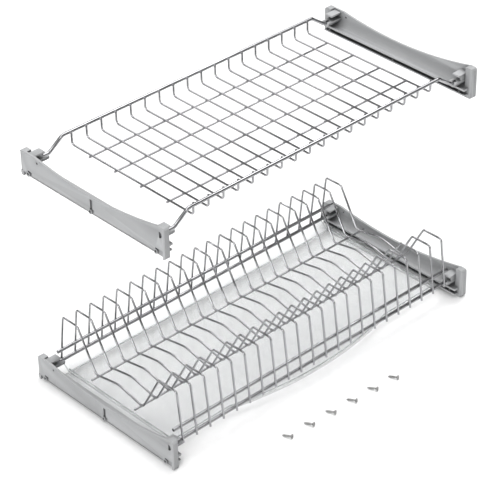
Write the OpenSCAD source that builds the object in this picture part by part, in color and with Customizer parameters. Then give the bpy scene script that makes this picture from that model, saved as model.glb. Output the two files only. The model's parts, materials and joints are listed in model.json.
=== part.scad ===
// Two-tier dish drying rack that screws to the inner sides of a wall cabinet.
// X runs across the cabinet, +Y to its back, +Z up. The origin is at the middle of the
// box that the whole set fills, on the surface that the lower brackets stand on.

/* [Cabinet fit] */
// Clear width between the cabinet's sides
cabinet_w = 564; // [540:1:580]
// Height of the upper brackets' underside above the lower brackets' underside
tier_gap = 330; // [260:1:420]

/* [Brackets] */
// Length of a bracket from back to front
bracket_len = 280; // [276:1:290]
// Height of a bracket at its front end
bracket_h = 46; // [44:1:48]
// Height of a bracket at its back end
back_h = 38; // [37:0.5:39]
// Height of a bracket at its waist
waist_h = 29.5; // [28:0.5:31]
// Depth of the two end blocks, measured from the cabinet's side
block_d = 10; // [9:0.5:11]
// How far the tray ledge reaches from the cabinet's side
ledge_d = 18; // [17:0.5:20]
// How far the rail cradles reach from the cabinet's side
cradle_d = 28; // [27:0.5:28]
// Radius of the mounting screw holes
hole_r = 1.9; // [1.7:0.1:2.2]
// Distance between neighbouring screw holes
hole_pitch = 124; // [120:1:126]

/* [Wires] */
// Diameter of the rails that hang in the cradles
rail_d = 5; // [4.5:0.5:5.5]
// Diameter of the plate and shelf wires
wire_d = 3; // [2.6:0.1:3.2]
// Height of the rail ends above a bracket's underside
rail_z = 26; // [25:0.5:27]

/* [Plate rack] */
// Number of plate wires
plate_wires = 22; // [18:1:22]
// Distance between neighbouring plate wires
plate_pitch = 24; // [22:0.1:24]
// Height of the hoops' tops above the underside
hoop_z = 100; // [90:1:110]
// Height of the wire floor that the plates stand on
floor_z = 38; // [37:1:42]

/* [Glass shelf] */
// Number of cross wires
shelf_wires = 18; // [14:1:18]
// Distance between neighbouring cross wires
shelf_pitch = 25.2; // [24:0.1:25.4]
// Height of the raised part of the shelf's rails
shelf_rail_z = 43; // [40:1:46]

/* [Drip tray] */
// Wall thickness of the clear tray
tray_t = 1.8; // [1.5:0.1:2.2]
// Height of the tray's underside
tray_z = 7.6; // [7.5:0.1:8]
// How far the middle of the tray's front edge bows out
tray_bow = 20; // [10:1:22]

/* [Mounting screws] */
// Length of a screw
screw_len = 16; // [14:1:18]
// Radius of a screw's countersunk head
head_r = 3.5; // [3:0.1:3.6]
// Distance between neighbouring screws in the loose row
screw_pitch = 38.6; // [30:0.1:40]

/* [Hidden] */
$fn = 32;
side_x = cabinet_w / 2;
rail_r = rail_d / 2;
wire_r = wire_d / 2;
weld_bite = 0.15;
rail_weld = rail_r + wire_r - weld_bite;
cross_weld = 2 * wire_r - weld_bite;
rail_in = 19;
running_gap = 0.3;
seam_half = 0.3;
seam_gap = 0.1;
seam_skin = 0.02;

// The loose row of screws in front of the brackets.
screw_count = 6;
screw_turn = 23;
screw_drift = 1.96;
row_start_x = -128.7;
row_gap = 52;
row_reach = row_gap + (screw_count - 1) * screw_drift
    + screw_len / 2 * cos(screw_turn) + head_r * sin(screw_turn);
back_y = (bracket_len + row_reach) / 2;

// Bracket details. Distances called "in" are measured from the back end.
wall_t = 3;
corner_r = 4;
waist_in = 130;
waist_r = 600;
back_flat = 30;
strip_h = 5.5;
runner_d = 17;
runner_h = 7.3;
ledge_z = 13;
ledge_top_z = 16;
cove_r = 10;
block_len = 12;
hole_in = 14;
hole_z = 6;
boss_r = 3.6;
boss_half = 7;
pocket_deep = 2.4;
pocket_foot = 1;
pocket_top = 12;
pocket_len = 9;
front_pocket_len = 13.5;
head_recess_r = 3.8;
head_recess_in = 5;
cradle_r = 6.5;
cradle_lip = 1.2;
rail_end_in = 22.6;
tab_end = 21.5;
back_tab_z = 36;
front_tab_z = 36;

// ---- Bent wire: straight rods and exact round bends through corner points ----

function unit(v) = v / norm(v);
function heading(v) = atan2(v[1], v[0]);
function turn_sign(a, b) = a[0] * b[1] - a[1] * b[0] > 0 ? 1 : -1;
function turn_angle(a, b) = acos(max(-1, min(1, a * b)));
function setback(a, b, r) = r * tan(turn_angle(a, b) / 2);

// A rod between two points of the drawing plane.
module rod(from, to, r) {
    reach = to - from;
    translate([from[0], from[1], 0])
        rotate([0, 0, heading(reach)])
            rotate([0, 90, 0])
                cylinder(h = norm(reach), r = r);
}

// A round bend that starts at a point and turns from one heading to the next.
module bend(start, dir_in, dir_out, bend_r, r) {
    side = turn_sign(dir_in, dir_out);
    centre = start + side * bend_r * [-dir_in[1], dir_in[0]];
    first = side > 0 ? heading(dir_in) - 90 : heading(dir_out) + 90;
    translate([centre[0], centre[1], 0])
        rotate([0, 0, first])
            rotate_extrude(angle = turn_angle(dir_in, dir_out), $fn = 60)
                translate([bend_r, 0])
                    circle(r = r);
}

// Short sleeve that joins a rod's end to the start of a bend.
module seam(at, dir, r) {
    rod(at - seam_half * dir, at + seam_half * dir, r + seam_skin);
}

// Corner points as [x, y], bend radii for the inner points in the same order.
module bent_wire(points, radii, r) {
    last = len(points) - 1;
    dirs = [for (i = [0 : last - 1]) unit(points[i + 1] - points[i])];
    cuts = [for (i = [0 : last])
        i == 0 || i == last ? 0 : setback(dirs[i - 1], dirs[i], radii[i - 1])];
    trims = [for (i = [0 : last]) i == 0 || i == last ? 0 : cuts[i] + seam_gap];
    for (i = [0 : last - 1])
        rod(points[i] + trims[i] * dirs[i], points[i + 1] - trims[i + 1] * dirs[i], r);
    for (i = [1 : last - 1]) {
        bend(points[i] - cuts[i] * dirs[i - 1], dirs[i - 1], dirs[i], radii[i - 1], r);
        seam(points[i] - cuts[i] * dirs[i - 1], dirs[i - 1], r);
        seam(points[i] + cuts[i] * dirs[i], dirs[i], r);
    }
}

// Puts a drawing of [distance from the back, height] upright, across the cabinet at x.
module upright_at(x, z = 0) {
    translate([x, back_y, z])
        rotate([90, 0, -90])
            children();
}

// A straight rod along the cabinet's width.
module cross_rod(length, in, z, r) {
    translate([-length / 2, back_y - in, z])
        rotate([0, 90, 0])
            cylinder(h = length, r = r);
}

// ---- Brackets, drawn with the cabinet's side at x = 0 and the back end at y = 0 ----

module bracket_section() {
    difference() {
        square([ledge_d, bracket_h]);
        translate([wall_t + cove_r, ledge_top_z + cove_r])
            circle(r = cove_r, $fn = 96);
        translate([wall_t + cove_r, ledge_top_z])
            square([ledge_d, bracket_h]);
        translate([wall_t, ledge_top_z + cove_r])
            square([ledge_d, bracket_h]);
        translate([wall_t, runner_h])
            square([ledge_d, ledge_z - runner_h]);
        translate([block_d, -1])
            square([ledge_d, strip_h + 1]);
        translate([runner_d, -1])
            square([ledge_d, runner_h + 2]);
    }
}

module bracket_run() {
    translate([0, -block_len / 2, 0])
        rotate([90, 0, 0])
            linear_extrude(bracket_len - block_len)
                bracket_section();
}

module end_block(in) {
    translate([0, -in - block_len, 0])
        linear_extrude(bracket_h)
            difference() {
                square([block_d, block_len]);
                if (in > 0) block_corner_cut();
            }
}

// Rounds the front block's inner corner.
module block_corner_cut() {
    difference() {
        translate([block_d - corner_r, -1])
            square([corner_r + 1, corner_r + 1]);
        translate([block_d - corner_r, corner_r])
            circle(r = corner_r);
    }
}

module boss_block(in) {
    translate([0, -in - boss_half, 0])
        cube([block_d, 2 * boss_half, 2 * hole_z]);
}

// Pocket in the outer face in front of the screw hole, with the hole's ring left standing.
module boss_pocket(in, reach) {
    difference() {
        translate([-1, -in - reach, pocket_foot])
            cube([pocket_deep + 1, reach, pocket_top - pocket_foot]);
        translate([-2, -in, hole_z])
            rotate([0, 90, 0])
                cylinder(h = pocket_deep + 3, r = boss_r);
    }
}

// Screw hole with a recess for the head on the inner side.
module screw_hole(in) {
    translate([-1, -in, hole_z])
        rotate([0, 90, 0])
            cylinder(h = block_d + 2, r = hole_r);
    translate([head_recess_in, -in, hole_z])
        rotate([0, 90, 0])
            cylinder(h = block_d, r = head_recess_r);
}

// Half-round trough that a rail end lies in.
module cradle(in) {
    translate([0, -in, rail_z])
        difference() {
            rotate([0, 90, 0])
                cylinder(h = cradle_d, r = cradle_r);
            translate([-1, -cradle_r - 1, cradle_lip])
                cube([cradle_d + 2, 2 * cradle_r + 2, cradle_r + 1]);
            translate([rail_end_in - running_gap, 0, 0])
                rotate([0, 90, 0])
                    cylinder(h = cradle_d, r = rail_r + running_gap);
            translate([rail_end_in - running_gap, -rail_r - running_gap, 0])
                cube([cradle_d, rail_d + 2 * running_gap, cradle_r]);
        }
}

// Springy tab above each cradle, joined to the bracket's wall.
module snap_tab(in, tab_top, web_side) {
    tab_w = 12;
    tab_t = 2.4;
    web_w = 2.4;
    web_shift = web_side * (tab_w - web_w) / 2;
    translate([0, -in - tab_w / 2, tab_top - tab_t])
        cube([tab_end, tab_w, tab_t]);
    translate([0, -in + web_shift - web_w / 2, rail_z - 1])
        cube([tab_end - 4, web_w, tab_top - rail_z]);
}

module waist_cut() {
    translate([-1, -waist_in, waist_h + waist_r])
        rotate([0, 90, 0])
            cylinder(h = block_d * 2, r = waist_r, $fn = 360);
}

// Lowers the wall's top edge at the back end.
module back_cut() {
    translate([-1, -back_flat, back_h])
        cube([ledge_d + 2, back_flat + 1, bracket_h]);
}

// Rounds one corner of the outline, at the underside or the top.
module end_round(in, way, z) {
    low = z > 0 ? z - corner_r : z - 1;
    middle = z > 0 ? z - corner_r : corner_r;
    difference() {
        translate([-1, -in - (way > 0 ? corner_r : 1), low])
            cube([ledge_d + 2, corner_r + 1, corner_r + 1]);
        translate([-2, -in - way * corner_r, middle])
            rotate([0, 90, 0])
                cylinder(h = ledge_d + 4, r = corner_r);
    }
}

// Slope along the outer face's bottom edge.
module edge_slope(from, to) {
    slope_h = 7;
    slope_d = 4;
    translate([0, -from, 0])
        rotate([90, 0, 0])
            linear_extrude(to - from)
                polygon([[-1, -1], [slope_d + 0.5, -1], [slope_d, 0], [0, slope_h], [-1, slope_h]]);
}

module bracket() {
    strip_in = 4;
    strip_d = 1.2;
    slot_w = 5;
    slot_top = 25;
    peg_r = 1.6;
    dee_w = 5;
    dee_h = 9;
    slope_end = 5;
    color("#b4b5b8")
        difference() {
            union() {
                difference() {
                    bracket_run();
                    waist_cut();
                    back_cut();
                }
                difference() {
                    union() {
                        end_block(0);
                        end_block(bracket_len - block_len);
                    }
                    waist_cut();
                    back_cut();
                }
                for (i = [0 : 2]) boss_block(hole_in + i * hole_pitch);
                cradle(rail_in);
                cradle(bracket_len - rail_in);
                snap_tab(rail_in, back_tab_z, 1);
                snap_tab(bracket_len - rail_in, front_tab_z, -1);
            }
            for (i = [0 : 2]) {
                boss_pocket(hole_in + i * hole_pitch, i < 2 ? pocket_len : front_pocket_len);
                screw_hole(hole_in + i * hole_pitch);
            }
            difference() {
                edge_slope(slope_end, bracket_len - slope_end);
                for (i = [0 : 2])
                    translate([-2, -hole_in - i * hole_pitch, hole_z])
                        rotate([0, 90, 0])
                            cylinder(h = block_d, r = boss_r);
            }
            end_round(0, 1, 0);
            end_round(bracket_len, -1, 0);
            end_round(0, 1, back_h);
            end_round(bracket_len, -1, bracket_h);
            // Narrow upright slot above the middle boss's pocket.
            translate([-1, -hole_in - hole_pitch - slot_w - 1, pocket_top - 1])
                cube([pocket_deep + 1, slot_w, slot_top - pocket_top + 1]);
            // Small peg hole near the back and half-round recess near the front.
            translate([-1, -35, 31])
                rotate([0, 90, 0])
                    cylinder(h = wall_t + 3, r = peg_r);
            translate([-1, -bracket_len + 9.5, 34])
                rotate([0, 90, 0])
                    difference() {
                        cylinder(h = pocket_deep + 1, r = dee_h / 2);
                        translate([-dee_h, dee_w - dee_h / 2, -1])
                            cube([2 * dee_h, dee_h, pocket_deep + 3]);
                    }
            // Shallow upright recess at the back end of the outer face.
            translate([-1, -strip_in, 7])
                cube([strip_d + 1, strip_in + 1, back_h - 10]);
        }
}

module left_bracket(z) {
    translate([-side_x, back_y, z])
        bracket();
}

module right_bracket(z) {
    translate([side_x, back_y, z])
        mirror([1, 0, 0])
            bracket();
}

// ---- Drip tray ----

module drip_tray() {
    flange_x = side_x - block_d - 0.6;
    body_x = side_x - cradle_d - 2.4;
    tray_back = 13;
    tray_front = 244;
    side_h = 7;
    back_h = 14;
    back_lean = 16;
    bow_half = 150;
    bow_r = (bow_half * bow_half + tray_bow * tray_bow) / (2 * tray_bow);
    wall_back = tray_back + back_lean;
    color("#e6ecec", 0.4)
        translate([0, back_y, tray_z]) {
            translate([-flange_x, -tray_front, 0])
                cube([2 * flange_x, tray_front - wall_back, tray_t]);
            linear_extrude(tray_t)
                tray_outline(body_x, tray_front, wall_back, bow_half, bow_r, 0);
            linear_extrude(side_h)
                difference() {
                    tray_outline(body_x, tray_front, wall_back, bow_half, bow_r, 0);
                    tray_outline(body_x, tray_front, wall_back, bow_half, bow_r, tray_t);
                }
            tray_back_wall(body_x, tray_back, back_h, back_lean);
        }
}

// Outline of the walled part, with a bow in the middle of its front edge.
module tray_outline(body_x, front, back, bow_half, bow_r, inset) {
    translate([-body_x + inset, -front + inset])
        square([2 * (body_x - inset), front - back]);
    intersection() {
        translate([0, bow_r - front - tray_bow])
            circle(r = bow_r - inset, $fn = 360);
        translate([-bow_half, -front - tray_bow])
            square([2 * bow_half, tray_bow + inset + 1]);
    }
}

// Leaning wall at the back of the tray.
module tray_back_wall(body_x, in, h, lean) {
    translate([-body_x, 0, 0])
        rotate([90, 0, 90])
            linear_extrude(2 * body_x)
                polygon([
                    [-in - lean - tray_t, 0],
                    [-in - lean + tray_t, 0],
                    [-in, h],
                    [-in - tray_t, h],
                    [-in - lean - tray_t, tray_t]
                ]);
}

// ---- Mounting screws, lying in a row in front of the rack ----

shank_r = 1.75;
root_r = 1.25;
thread_pitch = 1.4;
rim_h = 0.4;
tip_h = 3;

module screw() {
    cone_h = 2.2;
    threads = 6;
    difference() {
        rotate_extrude()
            polygon(concat(
                [[0, 0], [root_r, tip_h]],
                [for (i = [0 : threads - 1], s = [0, 1])
                    s == 0
                        ? [shank_r, tip_h + (i + 0.5) * thread_pitch]
                        : [root_r, tip_h + (i + 1) * thread_pitch]],
                [[root_r, screw_len - cone_h - rim_h], [head_r, screw_len - rim_h]],
                [[head_r, screw_len], [0, screw_len]]
            ));
        for (turn = [0, 90])
            rotate([0, 0, turn])
                translate([-2, -0.4, screw_len - 1.6])
                    cube([4, 0.8, 2]);
    }
}

// A countersunk screw at rest touches the surface with its first thread and its rim.
module lying_screw() {
    first_crest = tip_h + thread_pitch / 2;
    tilt = atan((head_r - shank_r) / (screw_len - rim_h - first_crest));
    lift = shank_r * cos(tilt) - first_crest * sin(tilt);
    rotate([0, 0, screw_turn])
        translate([0, screw_len / 2, lift])
            rotate([90 - tilt, 0, 0])
                screw();
}

module mounting_screws() {
    color("#c9cacc")
        for (i = [0 : screw_count - 1])
            translate([
                row_start_x + i * screw_pitch,
                back_y - bracket_len - row_gap - i * screw_drift,
                0
            ])
                lying_screw();
}

// ---- Plate rack ----

leg_lean = 10;
leg_foot_z = rail_z - rail_r - 1;
leg_slope = leg_lean / (hoop_z - leg_foot_z);
leg_in = rail_in - rail_weld - leg_slope * (rail_z - leg_foot_z);
hoop_len = 31;
guide_z = 45;
valley_back = 90;
valley_front = 183;
valley_flat = 8;
hump_in = 137;
hump_rise = 9;
far_leg = bracket_len - leg_in;

hoop_r = 5;
valley_r = 7;
hump_r = 40;
plate_line = [
    [leg_in, leg_foot_z],
    [leg_in + leg_lean, hoop_z],
    [leg_in + leg_lean + hoop_len, hoop_z],
    [valley_back, floor_z],
    [hump_in, floor_z + hump_rise],
    [valley_front - valley_flat / 2, floor_z],
    [valley_front + valley_flat / 2, floor_z],
    [far_leg - leg_lean - hoop_len - 3, hoop_z],
    [far_leg - leg_lean, hoop_z],
    [far_leg, leg_foot_z]
];

module plate_wire(i) {
    x = (i - (plate_wires + 1) / 2) * plate_pitch;
    color("#d4d5d7")
        upright_at(x)
            bent_wire(
                plate_line,
                [hoop_r, hoop_r, valley_r, hump_r, valley_r, valley_r - 1, hoop_r, hoop_r],
                wire_r
            );
}

// Lowest point of the back valley's round bend.
function low_point(a, b, c, r) = b
    - setback(unit(b - a), unit(c - b), r) * unit(b - a)
    + r * [-unit(b - a)[1], unit(b - a)[0]]
    - [0, r];
back_low = low_point(plate_line[2], plate_line[3], plate_line[4], valley_r);
front_low = [valley_front - valley_flat / 2 + 2.6, floor_z];

// The guide rails lie against the inner side of the leaning legs.
guide_in = leg_in + leg_slope * (guide_z - leg_foot_z) + rail_weld;
rail_span = cabinet_w - 2 * rail_end_in;
guide_span = 526;

module rack_rail(in, z, length) {
    color("#d4d5d7")
        cross_rod(length, in, z, rail_r);
}

// Runs under the lowest points of all the plate wires.
module rack_floor_wire(low) {
    color("#d4d5d7")
        cross_rod(guide_span, low[0], low[1] - cross_weld, wire_r);
}

// ---- Glass shelf ----

shelf_floor_z = 26;
shelf_leg_in = rail_in + rail_weld;
rail_drop_x = 226;
rail_flat = 4;
shelf_tip_z = shelf_rail_z + 1;
long_in = [60, 110, 160, 210];
long_span = 434;

module shelf_rail(in) {
    x_end = side_x - rail_end_in;
    x_low = side_x - cradle_d - rail_flat;
    color("#d4d5d7")
        translate([0, back_y - in, tier_gap])
            rotate([90, 0, 0])
                bent_wire(
                    [
                        [-x_end, rail_z],
                        [-x_low, rail_z],
                        [-rail_drop_x, shelf_rail_z],
                        [rail_drop_x, shelf_rail_z],
                        [x_low, rail_z],
                        [x_end, rail_z]
                    ],
                    [8, 8, 8, 8],
                    rail_r
                );
}

module shelf_wire(i) {
    x = (i - (shelf_wires + 1) / 2) * shelf_pitch;
    color("#d4d5d7")
        upright_at(x, tier_gap)
            bent_wire(
                [
                    [shelf_leg_in, shelf_tip_z],
                    [shelf_leg_in, shelf_floor_z],
                    [bracket_len - shelf_leg_in, shelf_floor_z],
                    [bracket_len - shelf_leg_in, shelf_tip_z]
                ],
                [5, 5],
                wire_r
            );
}

module shelf_long_wire(i) {
    color("#d4d5d7")
        translate([0, 0, tier_gap])
            cross_rod(long_span, long_in[i - 1], shelf_floor_z - cross_weld, wire_r);
}

left_bracket(0);  // lower_left_bracket
right_bracket(0);  // lower_right_bracket
left_bracket(tier_gap);  // upper_left_bracket
right_bracket(tier_gap);  // upper_right_bracket
drip_tray();
mounting_screws();
rack_rail(rail_in, rail_z, rail_span);  // rack_back_rail
rack_rail(bracket_len - rail_in, rail_z, rail_span);  // rack_front_rail
rack_rail(guide_in, guide_z, guide_span);  // rack_back_guide_rail
rack_rail(bracket_len - guide_in, guide_z, guide_span);  // rack_front_guide_rail
rack_floor_wire(back_low);  // rack_floor_wire_1
rack_floor_wire(front_low);  // rack_floor_wire_2
for (i = [1 : plate_wires])
    plate_wire(i);
shelf_rail(rail_in);  // shelf_back_rail
shelf_rail(bracket_len - rail_in);  // shelf_front_rail
for (i = [1 : 4])
    shelf_long_wire(i);
for (i = [1 : shelf_wires])
    shelf_wire(i);
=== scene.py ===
# %% [markdown]
# # A two-tier dish rack for a wall cabinet
# The rack has four grey plastic brackets that screw to a cabinet's sides, a plate rack and a
# glass shelf of chromed wire that hang in them, a clear drip tray that slides between the two
# lower brackets, and six loose screws. Every piece already exists as an exact CAD solid, so
# this script doesn't decide sizes. It loads those solids, gives each one the soft edges, welds
# and finish that the real thing has, and lights the set on a pale table.

import json
import math

import bpy
from mathutils import Euler, Matrix, Vector


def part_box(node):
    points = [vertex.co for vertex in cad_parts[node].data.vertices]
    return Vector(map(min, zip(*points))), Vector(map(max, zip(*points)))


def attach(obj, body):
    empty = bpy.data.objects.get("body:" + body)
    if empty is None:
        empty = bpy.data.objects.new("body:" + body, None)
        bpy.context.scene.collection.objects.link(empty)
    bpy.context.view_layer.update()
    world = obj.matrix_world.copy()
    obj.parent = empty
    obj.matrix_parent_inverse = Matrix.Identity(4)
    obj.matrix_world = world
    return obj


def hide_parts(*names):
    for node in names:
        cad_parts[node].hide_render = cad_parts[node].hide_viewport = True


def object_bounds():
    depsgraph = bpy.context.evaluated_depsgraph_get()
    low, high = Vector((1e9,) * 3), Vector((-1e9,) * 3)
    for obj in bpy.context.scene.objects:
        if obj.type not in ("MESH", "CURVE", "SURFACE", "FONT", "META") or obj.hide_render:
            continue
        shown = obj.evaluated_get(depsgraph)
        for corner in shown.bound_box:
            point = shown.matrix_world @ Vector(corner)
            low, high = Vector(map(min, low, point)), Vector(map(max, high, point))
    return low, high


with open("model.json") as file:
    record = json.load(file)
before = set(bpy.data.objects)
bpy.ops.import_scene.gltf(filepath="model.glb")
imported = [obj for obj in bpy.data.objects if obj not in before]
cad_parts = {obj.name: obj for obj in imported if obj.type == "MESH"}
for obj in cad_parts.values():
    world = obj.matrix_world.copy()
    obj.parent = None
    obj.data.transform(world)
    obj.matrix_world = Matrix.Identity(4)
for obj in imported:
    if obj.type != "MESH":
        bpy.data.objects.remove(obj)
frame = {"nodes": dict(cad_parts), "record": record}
cad_low, cad_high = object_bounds()
bodies = frame["record"]["behaviour"]["bodies"]
MM = 0.001
print("CAD nodes:", len(frame["nodes"]), "box:", cad_low, cad_high)

# %% [markdown]
# ## Camera
# The set is seen from the front left and from well above, through a long lens, so that the
# parallel wires stay nearly parallel. A long lens far away was chosen over a short one close
# by because a short lens would make the near brackets look much larger than the far ones.
# The camera's turn is built from two angles, across and down, and then a slight lean.

# %% Place the camera
VIEW_TURN = math.radians(43.25)
VIEW_DOWN = math.radians(34.05)
VIEW_LEAN = math.radians(-0.72)
CAMERA_AT = Vector((-1.677, -1.757, 1.804))
LENS_MM = 155.3
SENSOR_MM = 36.0
SHIFT = -0.022

camera_data = bpy.data.cameras.new("camera")
camera_data.lens = LENS_MM
camera_data.sensor_width = SENSOR_MM
camera_data.shift_x = SHIFT
camera = bpy.data.objects.new("camera", camera_data)
aim = Euler((math.pi / 2 - VIEW_DOWN, 0, -VIEW_TURN)).to_matrix()
camera.rotation_euler = (aim @ Matrix.Rotation(VIEW_LEAN, 3, "Z")).to_euler()
camera.location = CAMERA_AT
bpy.context.scene.collection.objects.link(camera)
bpy.context.scene.camera = camera
print("camera", tuple(round(v, 3) for v in camera.location))

# %% [markdown]
# ## Surfaces
# Every finish here is made from noise on the piece's own coordinates, so nothing is painted
# by hand and no seam can show. These few helpers set up a material, make the noise, spread it
# over a range, turn it into colours, and turn it into a bump.

# %% Helpers for the materials
def new_material(name, **settings):
    """A material with its shader's sockets set, and the shader and node tree for more."""
    material = bpy.data.materials.new(name)
    material.use_nodes = True
    tree = material.node_tree
    shader = tree.nodes["Principled BSDF"]
    for socket, value in settings.items():
        shader.inputs[socket.replace("_", " ")].default_value = value
    return material, tree, shader


def place_noise(tree, scale, detail=3.0):
    """Noise on the piece's own coordinates, in features per metre."""
    where = tree.nodes.new("ShaderNodeTexCoord")
    noise = tree.nodes.new("ShaderNodeTexNoise")
    noise.inputs["Scale"].default_value = scale
    noise.inputs["Detail"].default_value = detail
    tree.links.new(where.outputs["Object"], noise.inputs["Vector"])
    return noise.outputs["Fac"]


def ramp(tree, factor, stops):
    """A colour ramp with (place, colour) stops."""
    node = tree.nodes.new("ShaderNodeValToRGB")
    elements = node.color_ramp.elements
    while len(elements) < len(stops):
        elements.new(0.5)
    for element, (place, colour) in zip(elements, stops):
        element.position = place
        element.color = (*colour, 1.0)
    tree.links.new(factor, node.inputs["Fac"])
    return node.outputs["Color"]


def spread(tree, factor, low, high, from_low=0.3, from_high=0.7):
    """Spreads a factor over a range of values."""
    node = tree.nodes.new("ShaderNodeMapRange")
    for socket, value in zip(node.inputs[1:5], (from_low, from_high, low, high)):
        socket.default_value = value
    tree.links.new(factor, node.inputs["Value"])
    return node.outputs["Result"]


def blend(tree, factor, colour, other):
    """Mixes a colour with a second, fixed one."""
    node = tree.nodes.new("ShaderNodeMix")
    node.data_type = "RGBA"
    tree.links.new(factor, node.inputs["Factor"])
    tree.links.new(colour, node.inputs[6])
    node.inputs[7].default_value = (*other, 1.0)
    return node.outputs[2]


def bump(tree, height, strength, distance, under=None):
    """A bump from a height, on top of an earlier one if there is one."""
    node = tree.nodes.new("ShaderNodeBump")
    node.inputs["Strength"].default_value = strength
    node.inputs["Distance"].default_value = distance
    tree.links.new(height, node.inputs["Height"])
    if under is not None:
        tree.links.new(under, node.inputs["Normal"])
    return node.outputs["Normal"]


# %% [markdown]
# ## Table
# A wide plane stands in for the table. It is far larger than the view, so that no edge shows
# past the set or in the chrome, and it is a matt off-white with a faint grain.

# %% Table
FLOOR_HALF = 12.0
FLOOR_GAP = 0.1 * MM

table_paint, tree, shader = new_material("table_paint", Roughness=0.85, Specular_IOR_Level=0.2)
grain = place_noise(tree, 90.0)
tree.links.new(ramp(tree, grain, [(0.3, (0.90,) * 3), (0.7, (0.93,) * 3)]), shader.inputs["Base Color"])
tree.links.new(bump(tree, place_noise(tree, 700.0), 0.05, 0.0005), shader.inputs["Normal"])

bpy.ops.object.select_all(action="DESELECT")
bpy.ops.mesh.primitive_plane_add(size=2 * FLOOR_HALF, location=(0, 0, cad_low[2] - FLOOR_GAP))
floor = bpy.context.object
floor.name = "table"
floor.data.materials.append(table_paint)
print("table", floor.dimensions[:])

# %% [markdown]
# ## Light
# Chrome has no colour of its own: it shows the room. A plain white room would make the wires
# vanish against the white table, so the sky here is dark around the horizon and bright
# overhead. Each wire then gets a bright top, a dark edge and a soft reflection of the table.
# Two large soft panels do the rest, one overhead and one at the front left. A round wire only
# shows a light that lies on a cone around its own direction, so two smaller panels, at the
# right and at the back, are set just where the long and the cross wires look.

# %% Sky
sky = bpy.data.worlds.new("soft_sky")
bpy.context.scene.world = sky
sky.use_nodes = True
tree = sky.node_tree
background = tree.nodes["Background"]
where = tree.nodes.new("ShaderNodeTexCoord")
split = tree.nodes.new("ShaderNodeSeparateXYZ")
tree.links.new(where.outputs["Generated"], split.inputs["Vector"])
height = spread(tree, split.outputs["Z"], 0.0, 1.0, -0.15, 0.9)
tones = [(0.0, (0.08,) * 3), (0.30, (0.05,) * 3), (0.60, (0.34,) * 3), (1.0, (0.95,) * 3)]
tree.links.new(ramp(tree, height, tones), background.inputs["Color"])
background.inputs["Strength"].default_value = 1.0


# %% Soft panels
def soft_panel(name, at, towards, size, watts):
    """A square area light that faces a point."""
    light = bpy.data.lights.new(name, "AREA")
    light.size = size
    light.energy = watts
    lamp = bpy.data.objects.new(name, light)
    lamp.location = at
    lamp.rotation_euler = (Vector(towards) - Vector(at)).to_track_quat("-Z", "Y").to_euler()
    bpy.context.scene.collection.objects.link(lamp)
    print("panel", name, watts, "W")


soft_panel("panel_overhead", (0.2, 0.5, 2.6), (0, 0, 0.1), 2.4, 38)
soft_panel("panel_front_left", (-4.8, -2.2, 2.3), (0, 0, 0.15), 3.0, 215)
soft_panel("panel_right", (1.8, 0.5, 2.4), (0, 0, 0.2), 1.1, 24)
soft_panel("panel_back", (0.2, 1.7, 2.3), (0, 0, 0.2), 0.5, 3)
bpy.context.scene.view_settings.view_transform = "Standard"

# %% [markdown]
# ## From CAD solid to finished piece
# A CAD mesh is exact but bare: its triangles aren't joined and its edges are razor sharp. A
# moulding or a plated wire never is. So each solid is copied, its triangles are joined, and a
# fine bevel catches the light along its edges. The copy replaces the solid it was made from.

# %% Copy, join and round
JOIN_WITHIN = 0.002 * MM
FLAT_WITHIN = math.radians(0.4)


def only(piece):
    """Makes a piece the only selected one."""
    bpy.ops.object.select_all(action="DESELECT")
    piece.select_set(True)
    bpy.context.view_layer.objects.active = piece


def body_of_node(node):
    return next(body for body, nodes in bodies.items() if node in nodes)


def workpiece(node, name):
    """A joined copy of a CAD node."""
    piece = frame["nodes"][node].copy()
    piece.data = piece.data.copy()
    piece.name = name
    piece.parent = None
    bpy.context.scene.collection.objects.link(piece)
    only(piece)
    bpy.ops.object.mode_set(mode="EDIT")
    bpy.ops.mesh.select_all(action="SELECT")
    bpy.ops.mesh.remove_doubles(threshold=JOIN_WITHIN)
    bpy.ops.mesh.dissolve_limited(angle_limit=FLAT_WITHIN)
    bpy.ops.object.mode_set(mode="OBJECT")
    return piece


def round_edges(piece, width, segments=2, over_angle=40.0, material_index=-1):
    """Rounds the edges sharper than an angle and smooths the rest."""
    only(piece)
    rounding = piece.modifiers.new("rounding", "BEVEL")
    rounding.width = width
    rounding.segments = segments
    rounding.limit_method = "ANGLE"
    rounding.angle_limit = math.radians(over_angle)
    rounding.use_clamp_overlap = True
    rounding.material = material_index
    bpy.ops.object.modifier_apply(modifier="rounding")
    bpy.ops.object.shade_smooth_by_angle(angle=math.radians(over_angle))


def finish(piece, body, material, slot, *nodes):
    """Gives a piece its material, unless it has one, and its body, and hides the nodes it stands for.
    """
    if material is not None:
        piece.data.materials.clear()
        piece.data.materials.append(material)
    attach(piece, body)
    if nodes:
        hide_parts(*nodes)


# %% [markdown]
# ## Bright wire
# The wires are drawn steel with a bright chrome plate. The plate is a mirror, but not a
# perfect one: drawing leaves a faint waviness, and handling leaves patches that are duller.
# Both go into the material, as a slow ripple in the bump and a slow change in roughness.

# %% Chrome
chrome, tree, shader = new_material("bright_chrome", Metallic=1.0)
patches = place_noise(tree, 24.0, 4.0)
tone = ramp(tree, patches, [(0.30, (0.30, 0.30, 0.31)), (0.70, (0.40, 0.40, 0.41))])
tree.links.new(tone, shader.inputs["Base Color"])
tree.links.new(spread(tree, place_noise(tree, 130.0, 5.0), 0.06, 0.16), shader.inputs["Roughness"])
waves = bump(tree, place_noise(tree, 60.0, 2.0), 0.25, 0.0004)
tree.links.new(bump(tree, place_noise(tree, 2600.0, 2.0), 0.06, 0.0001, waves), shader.inputs["Normal"])

# %% Rails, plate wires and shelf wires
CUT_END = 0.35 * MM

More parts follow.
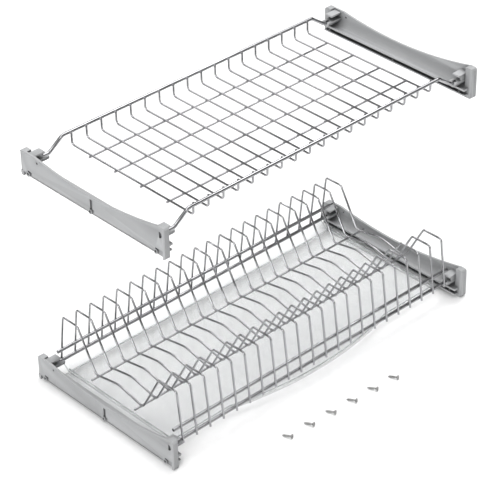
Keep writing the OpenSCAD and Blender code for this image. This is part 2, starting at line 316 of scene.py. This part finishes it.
wire_nodes = [node for body in ("plate_rack", "glass_shelf") for node in bodies[body]]
for node in wire_nodes:
    wire = workpiece(node, node + ".plated")
    round_edges(wire, CUT_END, 2, 50.0)
    finish(wire, body_of_node(node), chrome, "chrome_wire", node)
print("plated wires:", len(wire_nodes))

# %% [markdown]
# ## Welds
# Every crossing is a resistance weld: the two wires are pressed together and the hot steel
# swells out a little at both sides of the contact, before the whole rack is plated. A small
# flattened bead at each crossing shows this. The beads are set down along each rail in edit
# mode, so that all the beads of a rack are one light mesh. Real beads are uneven, so their
# points are then moved a little at random and smoothed.

# %% Weld beads
BEAD = Vector((2.5, 1.1, 1.4)) * MM
BEAD_UNEVEN = 0.25 * MM


def middle(node):
    low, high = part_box(node)
    return (Vector(low) + Vector(high)) / 2


def half(node, axis):
    low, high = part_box(node)
    return (high[axis] - low[axis]) / 2


def crossings(rails, wires, axis, side):
    """Contact points on one side of each rail, at each wire."""
    points = []
    for rail in rails:
        for wire in wires:
            point = middle(rail)
            point.x = middle(wire).x
            point[axis] += side * half(rail, axis)
            points.append(point)
    return points


def weld_beads(name, body, points_by_axis):
    """One mesh of beads, squashed along the direction in which the wires were pressed."""
    bpy.ops.object.select_all(action="DESELECT")
    mesh = bpy.data.meshes.new(name)
    beads = bpy.data.objects.new(name, mesh)
    bpy.context.scene.collection.objects.link(beads)
    only(beads)
    bpy.ops.object.mode_set(mode="EDIT")
    for axis, points in points_by_axis:
        scale = BEAD if axis == 1 else Vector((BEAD.x, BEAD.z, BEAD.y))
        for point in points:
            bpy.ops.mesh.primitive_uv_sphere_add(
                segments=12, ring_count=8, radius=1.0, location=point, scale=scale
            )
    bpy.ops.mesh.select_all(action="SELECT")
    bpy.ops.transform.vertex_random(offset=BEAD_UNEVEN, uniform=0.5, normal=0.5, seed=3)
    bpy.ops.mesh.vertices_smooth(factor=0.5, repeat=2)
    bpy.ops.object.mode_set(mode="OBJECT")
    bpy.ops.object.shade_smooth()
    finish(beads, body, chrome, "chrome_wire")
    print(name, sum(len(points) for _, points in points_by_axis))


plate_wires = [node for node in wire_nodes if node.startswith("plate_wire")]
shelf_wires = [node for node in wire_nodes if node.startswith("shelf_wire")]
long_wires = [node for node in wire_nodes if node.startswith("shelf_long")]
weld_beads("plate_rack_welds", "plate_rack", [
    (1, crossings(["rack_back_rail", "rack_back_guide_rail"], plate_wires, 1, 1)),
    (1, crossings(["rack_front_rail", "rack_front_guide_rail"], plate_wires, 1, -1)),
    (2, crossings(["rack_floor_wire_1", "rack_floor_wire_2"], plate_wires, 2, 1)),
])


def shelf_rail_points(rail, side):
    """The raised part of a shelf rail is at its top, not at the middle of its box."""
    thickness = half(rail, 1)
    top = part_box(rail)[1][2]
    points = crossings([rail], shelf_wires, 1, side)
    for point in points:
        point.z = top - thickness
    return points


weld_beads("glass_shelf_welds", "glass_shelf", [
    (1, shelf_rail_points("shelf_back_rail", -1) + shelf_rail_points("shelf_front_rail", 1)),
    (2, crossings(long_wires, shelf_wires, 2, 1)),
])

# %% [markdown]
# ## Brackets
# The brackets are mouldings in grey ABS with a fine satin texture from the mould. The texture
# is a very fine bump, the colour drifts a little, and the corners, which hands and screwdrivers
# rub, are lighter. The inner corners, the recesses and the slope along the underside are darker:
# that is painted shade in the colour. The edge rounding is about what a mould cutter leaves.

# %% Grey plastic
# How far the painted shade in the brackets' corners and recesses reaches.
PAINTED_SHADE_REACH = 18 * MM

grey, tree, shader = new_material("moulded_grey", Specular_IOR_Level=0.45)
cloud = place_noise(tree, 9.0, 3.0)
tone = ramp(tree, cloud, [(0.25, (0.268, 0.272, 0.276)), (0.75, (0.292, 0.297, 0.302))])
geometry = tree.nodes.new("ShaderNodeNewGeometry")
edge = spread(tree, geometry.outputs["Pointiness"], 0.0, 1.0, 0.51, 0.58)
tone = blend(tree, edge, tone, (0.37, 0.375, 0.382))
# Painted shade: ambient occlusion darkens the inner corners, the recesses and the cove, where shade
# falls.
recess = tree.nodes.new("ShaderNodeAmbientOcclusion")
recess.samples = 8
recess.only_local = True
recess.inputs["Distance"].default_value = PAINTED_SHADE_REACH
corner = spread(tree, recess.outputs["AO"], 1.0, 0.0, 0.25, 0.92)
tone = blend(tree, corner, tone, (0.055, 0.056, 0.058))
# Painted shade: faces that point down, such as the slope along the underside, are darkened in the
# colour.
facing = tree.nodes.new("ShaderNodeSeparateXYZ")
tree.links.new(geometry.outputs["Normal"], facing.inputs["Vector"])
under = spread(tree, facing.outputs["Z"], 1.0, 0.0, -0.34, -0.03)
tone = blend(tree, under, tone, (0.105, 0.107, 0.110))
tree.links.new(tone, shader.inputs["Base Color"])
tree.links.new(spread(tree, place_noise(tree, 60.0, 4.0), 0.40, 0.54), shader.inputs["Roughness"])
flow = bump(tree, place_noise(tree, 40.0, 2.0), 0.06, 0.0005)
tree.links.new(bump(tree, place_noise(tree, 2400.0, 3.0), 0.16, 0.0001, flow), shader.inputs["Normal"])

# %% Brackets
MOULD_EDGE = 0.45 * MM

for node in bodies["brackets"]:
    if node.endswith("_bracket"):
        bracket = workpiece(node, node + ".moulded")
        round_edges(bracket, MOULD_EDGE, 2, 22.0)
        finish(bracket, "brackets", grey, "bracket_plastic", node)
        print(bracket.name, len(bracket.data.polygons), "faces")

# %% [markdown]
# ## Drip tray
# The tray is thin clear polystyrene. Clear plastic shows by its edges and its reflections, so
# its shader lets light straight through, with a faint cool tint, a few smudges that blur it,
# and the gentle ripple of a moulded sheet. The rounded rims get a dark grey, nearly opaque
# colour: painted shade for the darkening seen where one looks along the sheet through much more
# plastic.

# %% Clear plastic
def clear_plastic(name, alpha, low_tint, high_tint):
    """Clear moulded plastic: less alpha lets more light straight through."""
    material, tree, shader = new_material(name, Transmission_Weight=1.0, IOR=1.49, Alpha=alpha)
    tint = ramp(tree, place_noise(tree, 12.0), [(0.3, low_tint), (0.7, high_tint)])
    tree.links.new(tint, shader.inputs["Base Color"])
    tree.links.new(spread(tree, place_noise(tree, 45.0, 5.0), 0.02, 0.10), shader.inputs["Roughness"])
    tree.links.new(bump(tree, place_noise(tree, 22.0, 1.0), 0.2, 0.0008), shader.inputs["Normal"])
    return material


clear = clear_plastic("clear_plastic", 0.36, (0.93, 0.955, 0.965), (0.95, 0.97, 0.98))
# Painted shade: the rims' dark grey colour stands for the darkening seen when looking along the sheet.
rim = clear_plastic("clear_plastic_rim", 0.95, (0.12, 0.135, 0.14), (0.20, 0.22, 0.225))

# %% Tray
RIM = 0.6 * MM

tray = workpiece("drip_tray", "drip_tray.clear")
tray.data.materials.clear()
tray.data.materials.append(clear)
tray.data.materials.append(rim)
round_edges(tray, RIM, 3, 20.0, 1)
finish(tray, "drip_tray", None, "clear_plastic", "drip_tray")
print("tray", len(tray.data.polygons), "faces")

# %% [markdown]
# ## Screws
# Six zinc-plated countersunk screws come with the rack. The plate is thin and dull, and it is
# cloudy from one spot to the next. The crests and the head's rim are broken by a tiny bevel,
# which is all that a rolled thread keeps, so that each one catches a line of light.

# %% Zinc
zinc, tree, shader = new_material("zinc_plate", Metallic=1.0)
tone = ramp(tree, place_noise(tree, 300.0), [(0.3, (0.24, 0.24, 0.235)), (0.7, (0.36, 0.36, 0.355))])
tree.links.new(tone, shader.inputs["Base Color"])
tree.links.new(spread(tree, place_noise(tree, 800.0), 0.22, 0.42), shader.inputs["Roughness"])
tree.links.new(bump(tree, place_noise(tree, 3000.0), 0.1, 0.0001), shader.inputs["Normal"])

# %% Screws
CREST = 0.12 * MM

screws = workpiece("mounting_screws", "mounting_screws.plated")
round_edges(screws, CREST, 1, 40.0)
finish(screws, "brackets", zinc, "screw_steel", "mounting_screws")
